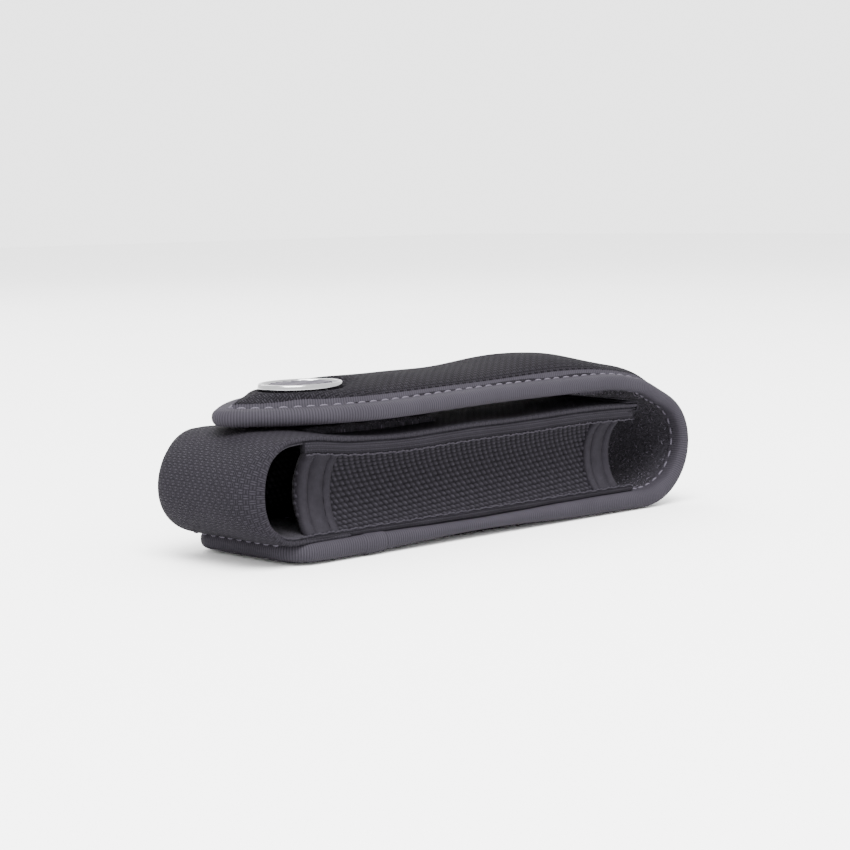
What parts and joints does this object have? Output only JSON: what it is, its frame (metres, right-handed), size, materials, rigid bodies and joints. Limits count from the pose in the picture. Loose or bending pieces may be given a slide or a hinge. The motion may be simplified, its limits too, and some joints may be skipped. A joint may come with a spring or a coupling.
{
  "type": "multi tool belt pouch",
  "caption": "Flap-top nylon belt pouch for a folding multi tool, with bound padded panels, mesh side gussets, a strap front and an oval metal badge.",
  "frame": {"origin": "centre of the pouch's footprint, on the surface that it lies on (bounding box bottom centre, lying on its back)", "axes": "+X towards the mouth and the curve that carries the flap, +Y to the far side, +Z out through the front strap and the flap"},
  "size_m": [0.128, 0.034, 0.0344],
  "materials": {
    "nylon": "ballistic nylon, basket weave, matt with a slight sheen",
    "binding_tape": "ribbed grosgrain tape",
    "lining": "brushed nylon lining",
    "foam": "closed-cell foam",
    "gusset_mesh": "coarse open weave nylon",
    "end_tape": "smooth flat nylon tape",
    "hook": "moulded nylon hooks on a woven base",
    "loop": "brushed nylon loop pile",
    "webbing": "ribbed nylon webbing",
    "thread": "grey polyester thread",
    "badge_metal": "polished",
    "badge_field": "satin"
  },
  "bodies": {
    "pouch": {"back_outer": "nylon", "back_stiffener": "foam", "back_lining": "lining", "back_binding": "binding_tape", "front_outer": "nylon", "front_lining": "lining", "mouth_binding": "binding_tape", "near_gusset": "gusset_mesh", "far_gusset": "gusset_mesh", "near_bottom_tape": "end_tape", "far_bottom_tape": "end_tape", "near_mouth_tape": "end_tape", "far_mouth_tape": "end_tape", "loop_patch": "loop", "belt_loop_top_end": "webbing", "belt_loop_bottom_end": "webbing", "bartacks": "thread"},
    "spine": {"spine_outer": "nylon", "spine_stiffener": "foam", "spine_lining": "lining", "spine_binding": "binding_tape"},
    "flap": {"flap_outer": "nylon", "flap_stiffener": "foam", "flap_lining": "lining", "flap_binding": "binding_tape", "hook_patch": "hook", "badge_rim": "badge_metal", "badge_plate": "badge_field", "badge_backing": "badge_field"},
    "belt_loop": {"belt_loop_web": "webbing"}
  },
  "joints": [
    {"name": "spine_fold", "type": "hinge", "parent": "pouch", "child": "spine", "pos_m": [0.064, 0, 0.0163], "axis": [0, 1, 0], "range_deg": [0, 85]},
    {"name": "flap_fold", "type": "hinge", "parent": "spine", "child": "flap", "pos_m": [0.0487, 0, 0.0316], "axis": [0, 1, 0], "range_deg": [0, 85]},
    {"name": "belt_loop_give", "type": "slide", "parent": "pouch", "child": "belt_loop", "axis": [0, 0, -1], "range_m": [0, 0.005]}
  ],
  "couplings": [
    {"joint": "flap_fold", "follows": "spine_fold", "ratio": 1}
  ]
}
